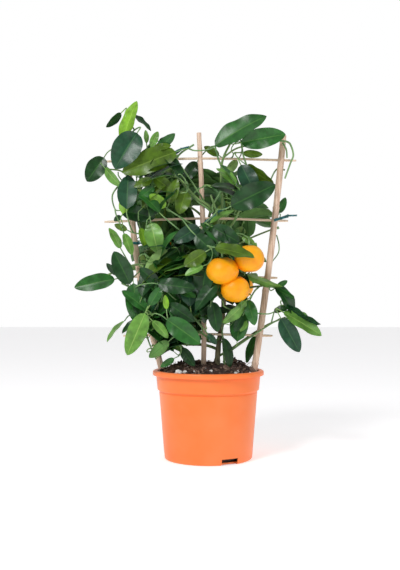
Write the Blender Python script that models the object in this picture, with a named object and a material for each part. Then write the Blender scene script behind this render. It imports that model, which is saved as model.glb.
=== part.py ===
"""A young citrus tree in a plastic nursery pot, trained on a trellis of bamboo canes.

Sizes are in millimetres and become metres when a mesh is made. +Z is up, the front
faces -Y, and the origin is the centre of the pot's flat underside. The trellis stands
in the plane y = 0. The trunk climbs just behind it, and the foliage lies on both sides.
"""

import math

import bmesh
import bpy
from mathutils import Matrix, Vector, noise

MM = 0.001
GAP = 0.3                 # left between pieces that touch

# The pot: a thin tapered wall, a wider collar and a lip turned down over it
ROUND_SIDES = 36
POT_HEIGHT = 119.0
BASE_RADIUS = 59.5
BASE_ROUNDING = 3.0
BODY_TOP_RADIUS = 66.3
BODY_TOP = 89.4
COLLAR_RADIUS = 68.7
COLLAR_TOP_RADIUS = 70.2
COLLAR_BOTTOM = 93.0
GROOVE_DEPTH = 0.5        # the thin line moulded between the body and the collar
GROOVE_HEIGHT = 2.6
LIP_RADIUS = 75.0
LIP_DEPTH = 6.5
LIP_THICKNESS = 2.0
EDGE_ROUNDING = 1.0
WALL = 1.5
FLOOR = 2.2
INNER_CORNER = 8.0        # height at which the inner wall turns in to the floor
NOTCH_WIDTH = 24.0
NOTCH_HEIGHT = 8.3
NOTCH_DEPTH = 8.0
NOTCH_ANGLES = (28.0, 148.0, 268.0)     # degrees round from the front, towards +X

# The potting mix, heaped a little above the rim in the middle
SOIL_EDGE = 117.0
SOIL_HEAP = 7.4
SOIL_BUMP = 1.6
SOIL_BUMP_SIZE = 16.0
SOIL_FADE = 12.0          # width of the level band along the pot's wall
SOIL_FOOT = 14.0          # height where its sides meet the wall, above the notches
SOIL_RINGS = (60.0, 50.0, 38.0, 26.0, 13.0)
SOIL_HILLS = ((38.0, 22.0, 9.0, 13.0), (-26.0, 26.0, 6.5, 20.0))     # x, y, height and spread
NOTCH_CLEAR = BASE_RADIUS - NOTCH_DEPTH - 2.0      # the mix stops short of the notches

# The canes: foot at the rim's height, top, sideways bow at mid height, and diameter
CANE_FOOT = 60.0          # height of the pushed-in lower ends
CANE_STEPS = 7
CANE_SIDES = 8
CANE_TAPER = 0.4
CANES = {
    "cane_left": {"foot": -62.6, "top": (-108.0, 431.0), "bow": -12.0, "diameter": 9.6},
    "cane_middle": {"foot": -6.5, "top": (-12.7, 439.5), "bow": 3.0, "diameter": 8.0},
    "cane_right": {"foot": 62.3, "top": (101.8, 436.0), "bow": 2.5, "diameter": 10.0},
}

# The cross splints: left end, sag point at the middle cane and right end, as (x, z)
SPLINT_DIAMETER = 3.4
SPLINT_SIDES = 6
SPLINTS = {
    "splint_top": ((-142.0, 400.6), (-11.0, 404.8), (119.0, 402.0)),
    "splint_upper": ((-140.5, 319.0), (-6.0, 323.6), (108.0, 320.3)),
    "splint_lower": ((-123.5, 244.5), (-6.0, 245.6), (93.5, 243.2)),
    "splint_bottom": ((-115.0, 164.8), (-7.0, 167.0), (87.0, 164.8)),
}

# The trunk's centre line, from the flat cut on the soil to its fork, and its taper
TRUNK_LINE = (
    (11.5, 6, 124), (15, 6.2, 159), (21, 6.4, 206), (18, 6.6, 245), (10, 6.6, 282), (4, 6.4, 311))
TRUNK_RADII = (3.7, 2.3)
FLARE_RADIUS = 7.4
FLARE_HEIGHT = 14.0
FLARE_SHARES = (0.0, 0.25, 0.55)        # rings between the foot and the next point
TRUNK_SIDES = 8
LINE_STEPS = 2            # steps between two points of a trunk, bough or splint
LIMB_SIDES = 6

# The boughs: the limb each grows from, its centre line and its radius at each end
BOUGHS = {
    "bough_upper_left": {
        "from": "trunk", "radii": (2.1, 1.5),
        "line": ((4, 6.4, 306), (1, 8.2, 324), (2, -6, 338),
                 (-18, -10, 352), (-38, -12, 374), (-58, -20, 384))},
    "bough_upper_middle": {
        "from": "trunk", "radii": (1.9, 1.4),
        "line": ((5, 6.4, 303), (10, -3, 309), (12, -12, 326), (3, -24, 352))},
    "bough_upper_right": {
        "from": "trunk", "radii": (2.0, 1.4),
        "line": ((6, 6.4, 300), (15, 8, 322), (19, 4, 345), (17, -8, 372), (19, -12, 400), (30, -14, 424))},
    "bough_right": {
        "from": "trunk", "radii": (1.9, 1.4),
        "line": ((8, 6.4, 291), (20, -2, 300), (34, -14, 318), (42, -20, 334))},
    "bough_fruit": {
        "from": "trunk", "radii": (2.0, 1.6),
        "line": ((16, 6.5, 254), (27, -4, 260), (34, -16, 262), (36, -32, 262))},
    "bough_middle": {
        "from": "trunk", "radii": (1.9, 1.4),
        "line": ((10, 6.6, 280), (9, -4, 288), (2, -12, 288), (-12, -20, 286))},
    "bough_left": {
        "from": "trunk", "radii": (2.3, 1.3),
        "line": ((20, 6.4, 222), (-6, 10, 232), (-42, 5, 254),
                 (-76, -9, 262), (-108, -10, 258), (-136, -15, 246))},
    "bough_lower_left": {
        "from": "trunk", "radii": (2.1, 1.5),
        "line": ((14, 6.2, 146), (-6, 10, 152), (-36, 3, 154), (-56, -10, 166), (-78, -17, 186))},
    "bough_lower_middle": {
        "from": "trunk", "radii": (1.9, 1.4),
        "line": ((16, 6.2, 163), (9, -1, 157), (3, -9, 160), (-12, -18, 172))},
    "bough_under_fruit": {
        "from": "trunk", "radii": (1.7, 1.3),
        "line": ((20, 6.4, 196), (28, -3, 198), (34, -10, 198), (41, -19, 196))},
    "bough_right_middle": {
        "from": "trunk", "radii": (1.7, 1.2),
        "line": ((20, 6.5, 220), (42, 6, 224), (56, -4, 230), (72, -14, 232))},
    "bough_lower_right": {
        "from": "trunk", "radii": (1.6, 1.1),
        "line": ((13, 6.2, 136), (33, 9, 148), (59, 9.5, 166), (78, 8, 178), (92, -2, 185), (102, -16, 190))},
    "bough_top_left": {
        "from": "bough_left", "radii": (1.7, 1.2),
        "line": ((-70, -7, 260), (-74, -10.5, 300), (-88, -11, 345), (-110, -12, 385), (-114, -16, 432))},
    "bough_right_edge": {
        "from": "trunk", "radii": (1.6, 1.1),
        "line": ((13, 6.6, 271), (30, 13, 284), (62, 15, 300), (97, 18, 314))},
    "bough_foot": {
        "from": "trunk", "radii": (1.3, 1.0),
        "line": ((14.6, 6.1, 155), (20, 0, 157), (24, -6, 156), (27, -12, 150))},
    "bough_far_left": {
        "from": "bough_top_left", "radii": (1.2, 1.0),
        "line": ((-107, -12, 378), (-118, -14, 386), (-138, -16, 388))},
    "bough_top_right_low": {
        "from": "bough_upper_right", "radii": (1.3, 1.0),
        "line": ((20, -12, 404), (38, -13, 416), (62, -16, 421))},
    "bough_back_upper_left": {
        "from": "trunk", "radii": (1.9, 1.4),
        "line": ((5, 6.4, 304), (-1, 12, 318), (-14, 18, 334), (-34, 26, 348))},
    "bough_back_upper_right": {
        "from": "trunk", "radii": (1.9, 1.4),
        "line": ((7, 6.4, 295), (14, 13, 312), (24, 20, 328), (36, 30, 340))},
    "bough_back_left": {
        "from": "trunk", "radii": (1.9, 1.4),
        "line": ((13, 6.6, 268), (2, 14, 274), (-18, 20, 272), (-40, 28, 268))},
    "bough_back_right": {
        "from": "trunk", "radii": (1.9, 1.4),
        "line": ((20, 6.5, 232), (28, 14, 240), (36, 22, 248), (42, 32, 254))},
    "bough_back_lower": {
        "from": "trunk", "radii": (1.9, 1.4),
        "line": ((15, 6.2, 154), (4, 15, 162), (-18, 22, 170), (-38, 30, 174))},
}

# The foliage masses: centre, half sizes and the leaf tips that each one reaches. A limb
# that enters a mass, or lies along it, has its own socket or groove there. FRONT and BACK
# are the faces turned to the trellis.
FRONT = -7.0
BACK = 12.0
MASS_TURNS = 13
MASS_RINGS = 6
LOBE_HEIGHT, LOBE_RATE = 0.20, 1.9
RIPPLE_HEIGHT, RIPPLE_RATE = 0.12, 4.3
TIP_SPREAD = 0.62         # angle round a leaf tip, in radians, that is drawn out with it
TIP_PULL = 0.75
MASSES = {
    "foliage_top_left": {
        "centre": (-108, -17, 452), "half": (19, 9, 17),
        "tips": ((-96.8, -19, 482.9), (-136, -16, 445), (-78, -18, 440), (-116, -18, 427))},
    "foliage_far_left": {
        "centre": (-150, -17, 386), "half": (14, 7, 15),
        "tips": ((-163, -18, 388), (-157, -18, 372), (-130, -18, 392))},
    "foliage_left_sprig": {
        "centre": (-148, -16, 244), "half": (23, 8.5, 14),
        "tips": ((-180.6, -18, 230.6), (-153, -18, 257), (-170, -12, 247), (-122, -15, 240))},
    "foliage_right_sprig": {
        "centre": (119, -21, 190), "half": (21, 13, 19),
        "tips": ((152.6, -22, 167), (149, -18, 184), (120.5, -24, 143.5), (99, -18, 202), (136, -26, 160))},
    "foliage_right_middle": {
        "centre": (88, -18, 230), "half": (17, 9, 17),
        "tips": ((114, -16, 215), (105, -16, 238), (64, -20, 241), (96, -16, 204))},
    "foliage_right_edge": {
        "centre": (101, 19, 325), "half": (10, 6, 24),
        "tips": ((125, 18, 305), (104, 18, 356), (92, 19, 262))},
    "foliage_top_right": {
        "centre": (42, -18, 441), "half": (32, 9.5, 17),
        "tips": ((77, -20, 458), (10, -17, 419), (54, -18, 461), (14, -16, 444))},
    "foliage_top_right_low": {
        "centre": (74, -18, 423), "half": (22, 8.5, 13),
        "tips": ((101, -20, 434), (48, -17, 410), (92, -18, 409))},
    "foliage_foot": {
        "centre": (28, -13, 143), "half": (8, 5, 16),
        "tips": ((29, -15, 125.5), (22, -14, 161), (36, -13, 142))},
    "foliage_fruit": {
        "centre": (34, -50, 249), "half": (35, 26, 35),
        "tips": ((77, -48, 264), (-6, -52, 262), (68, -40, 290), (30, -34, 292))},
    "foliage_under_fruit": {
        "centre": (40, -29, 200), "half": (25, 18, 18),
        "tips": ((62, -30, 177), (18, -32, 181), (38, -20, 174), (70, -22, 208))},
    "foliage_upper_right": {
        "centre": (52, -37, 346), "half": (35, 27, 33),
        "tips": ((89, -34, 369), (60, -26, 383), (84, -34, 324), (36, -30, 390))},
    "foliage_upper_middle": {
        "centre": (-18, -38, 374), "half": (38, 29, 42),
        "tips": ((-40, -30, 418), (12, -28, 418), (-2, -56, 336))},
    "foliage_upper_left": {
        "centre": (-88, -40, 378), "half": (40, 31, 42),
        "tips": ((-140, -22, 390), (-104, -36, 328), (-56, -32, 438), (-116, -40, 424))},
    "foliage_middle": {
        "centre": (-20, -38, 272), "half": (40, 30, 48),
        "tips": ((-30, -50, 326), (16, -44, 316), (-14, -46, 218))},
    "foliage_left": {
        "centre": (-88, -40, 278), "half": (36, 32, 50),
        "tips": ((-126, -34, 306), (-131, -36, 260), (-74, -52, 334), (-60, -50, 224), (-108, -40, 228))},
    "foliage_lower_left": {
        "centre": (-82, -42, 184), "half": (30, 32, 36),
        "tips": ((-132, -36, 160), (-106, -52, 140.5), (-110, -40, 218), (-66, -52, 130))},
    "foliage_lower_middle": {
        "centre": (-24, -38, 181), "half": (36, 29, 42),
        "tips": ((-54, -46, 124), (8, -34, 216), (12, -32, 176), (-12, -40, 136))},
    "foliage_back_upper_left": {
        "centre": (-58, 46, 368), "half": (50, 33, 50),
        "tips": ((-112, 36, 398), (-40, 44, 420), (-100, 56, 334))},
    "foliage_back_upper_right": {
        "centre": (36, 46, 350), "half": (42, 33, 44),
        "tips": ((84, 40, 352), (22, 44, 406), (52, 72, 376))},
    "foliage_back_left": {
        "centre": (-60, 48, 266), "half": (50, 35, 52),
        "tips": ((-116, 40, 262), (-84, 82, 292), (-100, 40, 224))},
    "foliage_back_right": {
        "centre": (38, 46, 256), "half": (38, 32, 52),
        "tips": ((80, 40, 276), (66, 70, 236), (64, 40, 212))},
    "foliage_back_lower": {
        "centre": (-40, 46, 178), "half": (46, 32, 40),
        "tips": ((-96, 42, 190), (-60, 78, 160), (10, 42, 196))},
}

ORANGE = (1.0, 0.23, 0.06)
SOIL_BROWN = (0.05, 0.025, 0.018)
BAMBOO = (0.75, 0.52, 0.36)
BARK = (0.16, 0.14, 0.07)
GREEN_SHOOT = (0.10, 0.22, 0.06)
LEAF_GREEN = (0.05, 0.16, 0.04)


def clear_scene():
    for scene_object in list(bpy.data.objects):
        bpy.data.objects.remove(scene_object, do_unlink=True)


def make_material(name, colour, roughness):
    material = bpy.data.materials.new(name)
    material.use_nodes = True
    shader = material.node_tree.nodes["Principled BSDF"]
    shader.inputs["Base Color"].default_value = (*colour, 1.0)
    shader.inputs["Roughness"].default_value = roughness
    shader.inputs["Metallic"].default_value = 0.0
    return material


def make_object(name, vertices, faces, material=None):
    """Turns vertices in millimetres and faces into one smooth-shaded closed object."""
    mesh = bpy.data.meshes.new(name)
    mesh.from_pydata([Vector(v) * MM for v in vertices], [], faces)
    builder = bmesh.new()
    builder.from_mesh(mesh)
    bmesh.ops.recalc_face_normals(builder, faces=builder.faces)
    builder.to_mesh(mesh)
    builder.free()
    if material:
        mesh.materials.append(material)
    mesh.shade_smooth()
    mesh.set_sharp_from_angle(angle=math.radians(40))
    made = bpy.data.objects.new(name, mesh)
    bpy.context.scene.collection.objects.link(made)
    return made


def largest_island(builder):
    """The faces of the biggest connected piece, which is all that a cut keeps."""
    unseen = set(builder.faces)
    best = set()
    while unseen:
        island = {unseen.pop()}
        edge_of_search = list(island)
        while edge_of_search:
            face = edge_of_search.pop()
            for edge in face.edges:
                for other in edge.link_faces:
                    if other in unseen:
                        unseen.discard(other)
                        island.add(other)
                        edge_of_search.append(other)
        if sum(f.calc_area() for f in island) > sum(f.calc_area() for f in best):
            best = island
    return best


def cut(target, cutters):
    """Takes the cutters out of the target, removes them, and keeps the target's main piece."""
    for cutter in cutters:
        cutter.hide_render = True
        cutter.display_type = "WIRE"
        modifier = target.modifiers.new("cut_" + cutter.name, "BOOLEAN")
        modifier.operation = "DIFFERENCE"
        modifier.solver = "EXACT"
        modifier.object = cutter
    evaluated = target.evaluated_get(bpy.context.evaluated_depsgraph_get())
    mesh = bpy.data.meshes.new_from_object(evaluated)
    target.modifiers.clear()
    builder = bmesh.new()
    builder.from_mesh(mesh)
    keep = largest_island(builder)
    bmesh.ops.delete(builder, geom=[f for f in builder.faces if f not in keep], context="FACES")
    builder.to_mesh(mesh)
    builder.free()
    target.data = mesh
    for cutter in cutters:
        bpy.data.objects.remove(cutter, do_unlink=True)


def smooth_line(points, steps):
    """A Catmull-Rom curve through the points, with the given steps between two of them."""
    points = [Vector(p) for p in points]
    first = points[0] * 2 - points[1]
    last = points[-1] * 2 - points[-2]
    padded = [first, *points, last]
    line = []
    for i in range(1, len(padded) - 2):
        before, start, end, after = padded[i - 1:i + 3]
        for step in range(steps):
            t = step / steps
            line.append(0.5 * (2 * start + (end - before) * t
                               + (2 * before - 5 * start + 4 * end - after) * t ** 2
                               + (3 * start - before - 3 * end + after) * t ** 3))
    line.append(points[-1])
    return line


def tube(name, line, radius_at, sides, material=None, grow=0.0):
    """A closed tube along the line. radius_at gives its radius from the share of its length."""
    tangents = []
    for i in range(len(line)):
        ahead = line[min(i + 1, len(line) - 1)]
        behind = line[max(i - 1, 0)]
        tangents.append((ahead - behind).normalized())
    centres = list(line)
    centres[0] = line[0] - tangents[0] * grow
    centres[-1] = line[-1] + tangents[-1] * grow
    across = tangents[0].cross(Vector((0, 1, 0)))
    if across.length < 0.1:
        across = tangents[0].cross(Vector((0, 0, 1)))
    vertices = []
    for i, centre in enumerate(centres):
        across = (across - tangents[i] * across.dot(tangents[i])).normalized()
        up = tangents[i].cross(across)
        radius = radius_at(i / (len(line) - 1)) + grow
        for side in range(sides):
            turn = 2 * math.pi * side / sides
            vertices.append(centre + (across * math.cos(turn) + up * math.sin(turn)) * radius)
    faces = []
    for ring in range(len(line) - 1):
        for side in range(sides):
            a = ring * sides + side
            b = ring * sides + (side + 1) % sides
            faces.append((a, b, b + sides, a + sides))
    faces.append(tuple(range(sides - 1, -1, -1)))
    faces.append(tuple(range((len(line) - 1) * sides, len(line) * sides)))
    return make_object(name, vertices, faces, material)


def limb(name, spec, material=None, grow=0.0):
    """One tapering bough along its line."""
    start, end = spec["radii"]
    line = smooth_line(spec["line"], LINE_STEPS)
    return tube(name, line, lambda share: start + (end - start) * share, LIMB_SIDES, material, grow)


def lathe(name, profile, material, height_offset=None):
    """Turns a closed profile of (radius, height) points, whose two ends lie on the axis."""
    vertices = [(0.0, 0.0, profile[0][1])]
    rings = profile[1:-1]
    for radius, height in rings:
        for side in range(ROUND_SIDES):
            turn = 2 * math.pi * side / ROUND_SIDES
            x, y = radius * math.cos(turn), radius * math.sin(turn)
            lift = height_offset(x, y, height) if height_offset else 0.0
            vertices.append((x, y, height + lift))
    last_lift = height_offset(0.0, 0.0, profile[-1][1]) if height_offset else 0.0
    vertices.append((0.0, 0.0, profile[-1][1] + last_lift))
    faces = []
    for side in range(ROUND_SIDES):
        after = (side + 1) % ROUND_SIDES
        faces.append((0, 1 + after, 1 + side))
        top_ring = 1 + (len(rings) - 1) * ROUND_SIDES
        faces.append((len(vertices) - 1, top_ring + side, top_ring + after))
        for ring in range(len(rings) - 1):
            a = 1 + ring * ROUND_SIDES + side
            b = 1 + ring * ROUND_SIDES + after
            faces.append((a, b, b + ROUND_SIDES, a + ROUND_SIDES))
    return make_object(name, vertices, faces, material)


def pot_inner_radius(height):
    """The inner wall's radius at a height above the floor."""
    if height >= COLLAR_BOTTOM:
        share = (height - COLLAR_BOTTOM) / (POT_HEIGHT - COLLAR_BOTTOM)
        return COLLAR_RADIUS + (COLLAR_TOP_RADIUS - COLLAR_RADIUS) * share - WALL
    share = height / BODY_TOP
    return min(BASE_RADIUS + (BODY_TOP_RADIUS - BASE_RADIUS) * share, BODY_TOP_RADIUS) - WALL


def make_pot(material):
    lip_bottom = POT_HEIGHT - LIP_DEPTH
    corner = [(BASE_RADIUS - BASE_ROUNDING * (1 - math.sin(turn)), BASE_ROUNDING * (1 - math.cos(turn)))
              for turn in (0.0, math.pi / 4, math.pi / 2)]
    outside = [(BODY_TOP_RADIUS, BODY_TOP),
               (BODY_TOP_RADIUS - GROOVE_DEPTH, BODY_TOP + GROOVE_HEIGHT / 2),
               (BODY_TOP_RADIUS, BODY_TOP + GROOVE_HEIGHT), (COLLAR_RADIUS, COLLAR_BOTTOM)]
    lip_inside = LIP_RADIUS - WALL
    lip = [(COLLAR_TOP_RADIUS, lip_bottom), (COLLAR_TOP_RADIUS, POT_HEIGHT - LIP_THICKNESS),
           (lip_inside, POT_HEIGHT - LIP_THICKNESS), (lip_inside, lip_bottom), (LIP_RADIUS, lip_bottom),
           (LIP_RADIUS, POT_HEIGHT - EDGE_ROUNDING), (LIP_RADIUS - EDGE_ROUNDING, POT_HEIGHT)]
    inside = [(pot_inner_radius(POT_HEIGHT) + EDGE_ROUNDING, POT_HEIGHT),
              (pot_inner_radius(POT_HEIGHT), POT_HEIGHT - EDGE_ROUNDING),
              (pot_inner_radius(COLLAR_BOTTOM), COLLAR_BOTTOM), (pot_inner_radius(BODY_TOP), BODY_TOP),
              (pot_inner_radius(INNER_CORNER), INNER_CORNER), (pot_inner_radius(FLOOR) - FLOOR, FLOOR)]
    pot = lathe("pot", [(0.0, 0.0), *corner, *outside, *lip, *inside, (0.0, FLOOR)], material)
    cut(pot, [notch_cutter(angle) for angle in NOTCH_ANGLES])
    return pot


def notch_cutter(angle):
    """A box that opens the pot's lower corner at an angle round from the front."""
    half = NOTCH_WIDTH / 2
    near, far = BASE_RADIUS - NOTCH_DEPTH, BASE_RADIUS + NOTCH_DEPTH
    heights = (-NOTCH_HEIGHT, NOTCH_HEIGHT)
    corners = [(x, y, z) for x in (-half, half) for y in (-far, -near) for z in heights]
    faces = [(0, 1, 3, 2), (4, 6, 7, 5), (0, 4, 5, 1), (2, 3, 7, 6), (0, 2, 6, 4), (1, 5, 7, 3)]
    turn = Matrix.Rotation(math.radians(angle), 3, "Z")
    return make_object("notch_cutter", [turn @ Vector(c) for c in corners], faces)


def soil_height(x, y, height):
    """Heaps the mix towards the middle and roughens it. The sides stay as they are."""
    radius = math.hypot(x, y)
    if height < SOIL_EDGE:
        return 0.0
    heap = SOIL_HEAP * (1.0 - (radius / COLLAR_RADIUS) ** 2)
    for hill_x, hill_y, rise, spread in SOIL_HILLS:
        heap += rise * math.exp(-((x - hill_x) ** 2 + (y - hill_y) ** 2) / spread ** 2)
    fade = min(1.0, max(0.0, (COLLAR_RADIUS - radius) / SOIL_FADE))
    return fade * (heap + SOIL_BUMP * noise.noise(Vector((x, y, 0.0)) / SOIL_BUMP_SIZE))


def make_soil(material):
    floor = FLOOR + GAP
    sides = [(NOTCH_CLEAR, floor), (pot_inner_radius(SOIL_FOOT) - GAP, SOIL_FOOT),
             (pot_inner_radius(BODY_TOP) - GAP, BODY_TOP),
             (pot_inner_radius(COLLAR_BOTTOM) - GAP, COLLAR_BOTTOM + 1.0),
             (pot_inner_radius(SOIL_EDGE) - GAP, SOIL_EDGE)]
    top = [(radius, SOIL_EDGE) for radius in SOIL_RINGS]
    return lathe("soil", [(0.0, floor), *sides, *top, (0.0, SOIL_EDGE)], material, soil_height)


def cane_line(spec):
    """The cane's bowed centre line, from its pushed-in end to its cut top."""
    top_x, top_z = spec["top"]
    line = []
    for step in range(CANE_STEPS + 1):
        height = CANE_FOOT + (top_z - CANE_FOOT) * step / CANE_STEPS
        share = (height - POT_HEIGHT) / (top_z - POT_HEIGHT)
        x = spec["foot"] + (top_x - spec["foot"]) * share + 4 * spec["bow"] * share * (1 - share)
        line.append(Vector((x, 0.0, height)))
    return line


def make_cane(name, material=None, grow=0.0):
    spec = CANES[name]
    radius = spec["diameter"] / 2
    return tube(name, cane_line(spec), lambda share: radius - CANE_TAPER * share, CANE_SIDES, material, grow)


def make_splint(name, material=None, grow=0.0):
    line = smooth_line([(x, 0.0, z) for x, z in SPLINTS[name]], LINE_STEPS)
    return tube(name, line, lambda share: SPLINT_DIAMETER / 2, SPLINT_SIDES, material, grow)


def trunk_radius(share):
    """The trunk's taper, wider in the root flare just above the soil."""
    height = share * (TRUNK_LINE[-1][2] - TRUNK_LINE[0][2])
    flare = max(0.0, 1.0 - height / FLARE_HEIGHT) ** 2
    taper = TRUNK_RADII[0] + (TRUNK_RADII[1] - TRUNK_RADII[0]) * share
    return taper + (FLARE_RADIUS - TRUNK_RADII[0]) * flare


def make_trunk(name, material=None, grow=0.0):
    foot = Vector(TRUNK_LINE[0])
    line = smooth_line(TRUNK_LINE, LINE_STEPS)
    flare_steps = [foot.lerp(line[1], share) for share in FLARE_SHARES]
    line = flare_steps + line[1:]
    heights = [(p.z - foot.z) / (line[-1].z - foot.z) for p in line]
    shares = [i / (len(line) - 1) for i in range(len(line))]
    radii = {share: trunk_radius(height) for share, height in zip(shares, heights)}
    trunk = tube(name, line, lambda share: radii[share], TRUNK_SIDES, material, grow)
    for vertex in trunk.data.vertices[:TRUNK_SIDES]:
        vertex.co.z = (foot.z - grow) * MM
    return trunk


def ball(turns, rings, turned):
    """Directions and faces of a ball whose two poles lie on the Y axis."""
    directions = [Vector((0, -1, 0))]
    for ring in range(1, rings):
        tilt = math.pi * ring / rings
        for side in range(turns):
            turn = 2 * math.pi * (side + 0.5 * (ring % 2)) / turns + turned
            directions.append(Vector((math.sin(tilt) * math.cos(turn), -math.cos(tilt),
                                      math.sin(tilt) * math.sin(turn))))
    directions.append(Vector((0, 1, 0)))
    last = len(directions) - 1
    faces = []
    for side in range(turns):
        after = (side + 1) % turns
        faces.append((0, 1 + side, 1 + after))
        faces.append((last, last - turns + after, last - turns + side))
        for ring in range(rings - 2):
            a, b = 1 + ring * turns + side, 1 + ring * turns + after
            c, d = a + turns, b + turns
            faces += [(a, c, b), (b, c, d)] if ring % 2 else [(a, c, d), (a, d, b)]
    return directions, faces


def foliage_mass(name, material=None, grow=0.0):
    """One uneven closed solid: an ellipsoid with lobes, drawn out to its leaf tips."""
    spec = MASSES[name]
    centre, half = Vector(spec["centre"]), Vector(spec["half"])
    seed = Vector((centre.x, centre.z, len(name))) * 0.37
    directions, faces = ball(MASS_TURNS, MASS_RINGS, turned=seed.x)
    reach = [1.0 + LOBE_HEIGHT * noise.noise(direction * LOBE_RATE + seed)
             + RIPPLE_HEIGHT * noise.noise(direction * RIPPLE_RATE + seed) for direction in directions]
    for tip in spec["tips"]:
        offset = Vector(tip) - centre
        towards = Vector((offset.x / half.x, offset.y / half.y, offset.z / half.z))
        distance, towards = towards.length, towards.normalized()
        nearest = max(range(len(directions)), key=lambda i: directions[i].dot(towards))
        for i, direction in enumerate(directions):
            closeness = max(0.0, 1.0 - direction.angle(towards) / TIP_SPREAD) ** 2
            reach[i] += (distance - reach[i]) * TIP_PULL * closeness
        directions[nearest], reach[nearest] = towards, distance
    vertices = []
    for direction, length in zip(directions, reach):
        offset = Vector((direction.x * half.x, direction.y * half.y, direction.z * half.z)) * length
        point = centre + offset + offset.normalized() * grow
        if centre.y < 0:
            point.y = min(point.y, FRONT + grow)
        else:
            point.y = max(point.y, BACK - grow)
        vertices.append(point)
    return make_object(name, vertices, faces, material)


def boxes_meet(first, second, margin=1.0):
    """Whether two objects' boxes come within the margin, in millimetres, of each other."""
    boxes = []
    for each in (first, second):
        corners = [v.co / MM for v in each.data.vertices]
        boxes.append([(min(c[axis] for c in corners), max(c[axis] for c in corners)) for axis in range(3)])
    one, two = boxes
    return all(one[axis][0] - margin < two[axis][1] and two[axis][0] - margin < one[axis][1]
               for axis in range(3))


def make_limb_by_name(name, material=None, grow=0.0):
    if name == "trunk":
        return make_trunk(name, material, grow)
    return limb(name, BOUGHS[name], material, grow)


def build():
    clear_scene()
    bark = make_material("bark", BARK, 0.85)
    bamboo = make_material("bamboo", BAMBOO, 0.55)
    make_pot(make_material("pot_plastic", ORANGE, 0.35))
    soil = make_soil(make_material("soil", SOIL_BROWN, 0.95))
    canes = {name: make_cane(name, bamboo) for name in CANES}
    for name in SPLINTS:
        make_splint(name, bamboo)
    for name, cane in canes.items():
        cut(cane, [make_splint(splint, grow=GAP) for splint in SPLINTS])
    make_trunk("trunk", bark)
    cut(soil, [make_cane(name, grow=GAP) for name in CANES] + [make_trunk("trunk", grow=GAP)])
    shoot = make_material("green_shoot", GREEN_SHOOT, 0.5)
    boughs = {}
    for name, spec in BOUGHS.items():
        boughs[name] = limb(name, spec, shoot)
        crossed = {other for other in boughs if other != name and boxes_meet(boughs[name], boughs[other])}
        cut(boughs[name], [make_limb_by_name(other, grow=GAP) for other in sorted(crossed | {spec["from"]})])
    made = {}
    for name, spec in MASSES.items():
        mass = foliage_mass(name, make_material(name + "_leaf", LEAF_GREEN, 0.6))
        cutters = [limb(bough + "_grown", BOUGHS[bough], grow=GAP)
                   for bough in BOUGHS if boxes_meet(mass, boughs[bough])]
        cutters += [foliage_mass(other, grow=2 * GAP) for other in made if boxes_meet(mass, made[other])]
        cut(mass, cutters)
        made[name] = mass


build()
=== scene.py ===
"""The looks of a young citrus tree in a nursery pot, trained on a trellis of bamboo.

Sizes are in millimetres and become metres when a mesh is made. +Z is up and the front
faces -Y. Leaves that the photograph shows are placed by its pixels and by a depth. All
others grow by a seeded rule inside the foliage masses of the frame.
"""
import math
import random

import bpy
from mathutils import Matrix, Vector, noise
from mathutils.bvhtree import BVHTree


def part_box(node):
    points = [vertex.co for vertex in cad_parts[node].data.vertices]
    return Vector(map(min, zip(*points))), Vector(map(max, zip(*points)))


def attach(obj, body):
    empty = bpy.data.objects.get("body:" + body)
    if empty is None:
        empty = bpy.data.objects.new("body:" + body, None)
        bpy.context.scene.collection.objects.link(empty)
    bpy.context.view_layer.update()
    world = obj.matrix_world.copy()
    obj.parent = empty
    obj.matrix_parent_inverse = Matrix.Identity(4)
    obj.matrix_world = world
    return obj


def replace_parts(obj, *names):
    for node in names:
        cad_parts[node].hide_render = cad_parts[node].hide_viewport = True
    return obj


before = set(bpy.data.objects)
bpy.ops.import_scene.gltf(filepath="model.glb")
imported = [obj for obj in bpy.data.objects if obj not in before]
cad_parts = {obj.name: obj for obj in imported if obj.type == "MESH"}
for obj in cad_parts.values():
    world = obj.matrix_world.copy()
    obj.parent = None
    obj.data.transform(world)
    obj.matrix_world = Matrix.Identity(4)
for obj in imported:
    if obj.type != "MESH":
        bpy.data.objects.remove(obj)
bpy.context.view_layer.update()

MM = 0.001
RNG = random.Random(7)
BODY = "root"
FOLIAGE = [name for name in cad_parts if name.startswith("foliage_")]

# The photograph: its size, and where its level camera stands
PHOTO_WIDTH, PHOTO_HEIGHT = 400, 570
CAMERA = Vector((-11.2, -1070.0, 208.0))
FOCAL_PIXELS = 790.25
HORIZON = 303.9
SENSOR = 36.0

# The pot's profile and its foot notches
POT_SIDES = 144
POT_HEIGHT = 119.0
BASE_RADIUS = 59.5
BASE_ROUNDING = 3.0
BODY_TOP_RADIUS, BODY_TOP = 66.3, 89.4
GROOVE_DEPTH, GROOVE_HEIGHT = 0.5, 2.6
COLLAR_RADIUS, COLLAR_TOP_RADIUS, COLLAR_BOTTOM = 68.7, 70.2, 93.0
LIP_RADIUS, LIP_DEPTH = 75.0, 6.5
WALL, FLOOR = 1.5, 2.2
NOTCH_WIDTH, NOTCH_HEIGHT, NOTCH_DEPTH = 24.0, 8.3, 8.0
NOTCH_ANGLES = (28.0, 148.0, 268.0)

# The potting mix
SOIL_EDGE = 117.0
SOIL_HEAP = 7.4
SOIL_HILLS = ((38.0, 22.0, 9.0, 13.0), (-26.0, 26.0, 6.5, 20.0))
CHUNKS, FIBRES, CRUMBS = 620, 90, 70
PERLITE_IN_PHOTO = ((178.3, 368.5, 4.6), (185.2, 369.1, 3.1), (180.0, 372.0, 3.4), (235.7, 371.2, 2.2),
                    (211.0, 358.0, 2.4))     # px, py and radius in millimetres
PERLITE_DEPTH = -50.0

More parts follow.
